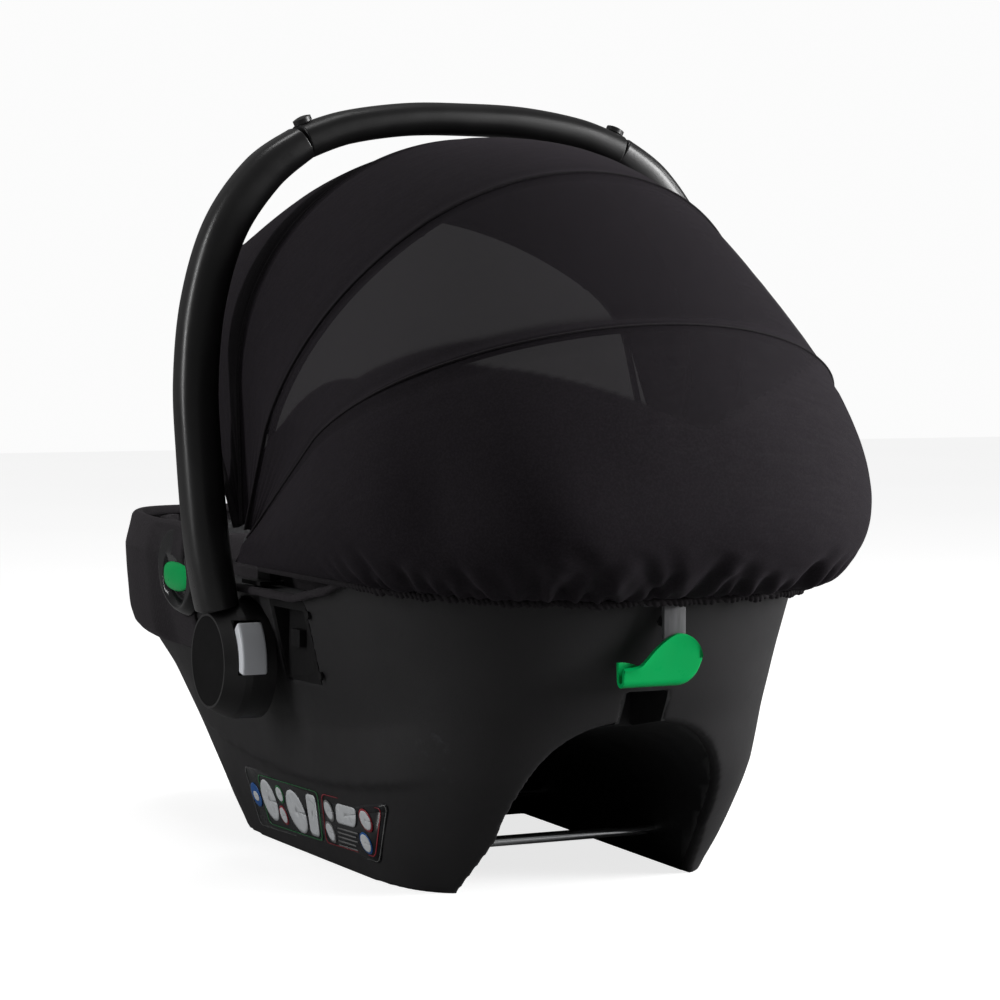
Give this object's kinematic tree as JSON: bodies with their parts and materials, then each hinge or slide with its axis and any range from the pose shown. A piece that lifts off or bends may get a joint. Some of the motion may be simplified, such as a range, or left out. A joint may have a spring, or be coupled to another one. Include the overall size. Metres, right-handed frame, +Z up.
{
  "type": "infant car seat",
  "caption": "Infant carrier seat with a swinging carry handle, folding hood, harness, arched base and a sprung rear release lever.",
  "frame": {"origin": "centre of the bounding box at the floor, under the middle of the seat", "axes": "+Z up, +Y towards the head end, +X towards the child's left; the handle's hinge line is parallel to X"},
  "size_m": [0.4572, 0.7434, 0.559],
  "materials": {
    "shell_plastic": "fine moulded texture, matte black",
    "side_plastic": "matte black moulding",
    "foam": "grey-black bead foam",
    "seat_fabric": "padded knitted cover, black",
    "insert_fabric": "soft quilted jersey, dark grey",
    "trim_fabric": "rolled edge binding, black",
    "webbing": "woven polyester webbing, black",
    "pad_fabric": "padded sleeve, dark grey",
    "canopy_fabric": "stretch woven hood cloth, charcoal",
    "handle_plastic": "satin black with crisp highlights",
    "grip_rubber": "soft black grip",
    "hub_plastic": "satin black drum",
    "cap_plastic": "flat dark cap with a polished rim",
    "button_plastic": "light grey moulded button",
    "buckle_red": "red moulded button",
    "steel": "zinc plated steel",
    "bow_wire": "drawn steel wire with flattened ends",
    "bar_chrome": "polished steel bar",
    "bracket_plastic": "dark grey moulding",
    "release_green": "glossy green moulding",
    "sticker_film": "printed film with plain coloured fields"
  },
  "bodies": {
    "carrier": {"shell": "shell_plastic", "tunnel_liner": "shell_plastic", "lever_channel": "shell_plastic", "rear_bar": "bar_chrome", "front_bar": "bar_chrome", "epp_liner": "foam", "seat_cover": "seat_fabric", "foot_cover": "seat_fabric", "newborn_insert": "insert_fabric", "head_support": "insert_fabric", "rim_band": "trim_fabric", "shoulder_strap_left": "webbing", "shoulder_strap_right": "webbing", "shoulder_pad_left": "pad_fabric", "shoulder_pad_right": "pad_fabric", "hip_straps": "webbing", "crotch_strap": "webbing", "crotch_pad": "pad_fabric", "buckle_body": "side_plastic", "buckle_tongues": "steel", "adjuster_body": "side_plastic", "adjuster_strap": "webbing", "ratchet_rings": "steel", "pivot_bolts": "steel", "adapter_socket_left": "side_plastic", "adapter_socket_right": "side_plastic", "socket_screws": "steel", "lever_bracket": "bracket_plastic", "lever_pin": "steel", "lever_spring": "steel", "canopy_brackets": "shell_plastic", "canopy_pins": "steel", "bow_rear": "bow_wire", "canopy_rear_panel": "canopy_fabric", "hem_elastic": "trim_fabric", "belt_housing_left": "side_plastic", "belt_housing_right": "side_plastic", "belt_guides": "release_green", "side_stickers": "sticker_film"},
    "handle": {"handle_arm_left": "handle_plastic", "handle_arm_right": "handle_plastic", "handle_grip": "grip_rubber", "handle_rest_feet": "handle_plastic", "hub_left": "hub_plastic", "hub_right": "hub_plastic", "hub_caps": "cap_plastic", "button_springs": "steel"},
    "memory_button_left": {"memory_button_left": "button_plastic"},
    "memory_button_right": {"memory_button_right": "button_plastic"},
    "release_lever": {"release_lever": "release_green"},
    "adapter_latch_left": {"adapter_latch_left": "steel"},
    "adapter_latch_right": {"adapter_latch_right": "steel"},
    "buckle_button": {"buckle_button": "buckle_red"},
    "adjuster_button": {"adjuster_button": "button_plastic"},
    "bow_mid": {"bow_mid": "bow_wire", "canopy_mid_panel": "canopy_fabric"},
    "bow_front": {"bow_front": "bow_wire", "canopy_top_panel": "canopy_fabric"},
    "bow_visor": {"bow_visor": "bow_wire", "canopy_visor_panel": "canopy_fabric"}
  },
  "joints": [
    {"name": "handle_swing", "type": "hinge", "parent": "carrier", "child": "handle", "pos_m": [0, -0.0067, 0.149], "axis": [1, 0, 0], "range_deg": [0, 105]},
    {"name": "memory_button_left_press", "type": "slide", "parent": "handle", "child": "memory_button_left", "axis": [0, -1, 0], "range_m": [0, 0.004], "stiffness_N_per_m": 400, "springref_m": -0.006, "deforming": ["button_springs"]},
    {"name": "memory_button_right_press", "type": "slide", "parent": "handle", "child": "memory_button_right", "axis": [0, -1, 0], "range_m": [0, 0.004], "stiffness_N_per_m": 400, "springref_m": -0.006},
    {"name": "release_lever_squeeze", "type": "hinge", "parent": "carrier", "child": "release_lever", "pos_m": [0, 0.3113, 0.214], "axis": [1, 0, 0], "range_deg": [-11, 0], "stiffness_Nm_per_rad": 0.6, "springref_deg": 11.46, "deforming": ["lever_spring"]},
    {"name": "adapter_latch_left_draw", "type": "slide", "parent": "carrier", "child": "adapter_latch_left", "axis": [-1, 0, 0], "range_m": [0, 0.005]},
    {"name": "adapter_latch_right_draw", "type": "slide", "parent": "carrier", "child": "adapter_latch_right", "axis": [1, 0, 0], "range_m": [0, 0.005]},
    {"name": "buckle_button_press", "type": "slide", "parent": "carrier", "child": "buckle_button", "axis": [0, 0, -1], "range_m": [0, 0.003], "stiffness_N_per_m": 600, "springref_m": -0.005},
    {"name": "adjuster_button_press", "type": "slide", "parent": "carrier", "child": "adjuster_button", "axis": [0, -0.6018, -0.7986], "range_m": [0, 0.002], "stiffness_N_per_m": 600, "springref_m": -0.004},
    {"name": "canopy_fold", "type": "hinge", "parent": "carrier", "child": "bow_mid", "pos_m": [0, 0.0083, 0.233], "axis": [-1, 0, 0], "range_deg": [0, 17.5], "deforming": ["canopy_mid_panel"]},
    {"name": "canopy_front_fold", "type": "hinge", "parent": "bow_mid", "child": "bow_front", "pos_m": [0, 0.0083, 0.233], "axis": [-1, 0, 0], "range_deg": [0, 24.5], "deforming": ["canopy_top_panel"]},
    {"name": "canopy_visor_fold", "type": "hinge", "parent": "bow_front", "child": "bow_visor", "pos_m": [0, 0.0083, 0.233], "axis": [-1, 0, 0], "range_deg": [0, 24.5], "deforming": ["canopy_visor_panel"]}
  ],
  "couplings": [
    {"joint": "adapter_latch_left_draw", "follows": "release_lever_squeeze", "m_per_rad": -0.02604},
    {"joint": "adapter_latch_right_draw", "follows": "release_lever_squeeze", "m_per_rad": -0.02604},
    {"joint": "canopy_front_fold", "follows": "canopy_fold", "ratio": 1.4},
    {"joint": "canopy_visor_fold", "follows": "canopy_fold", "ratio": 1.4}
  ]
}
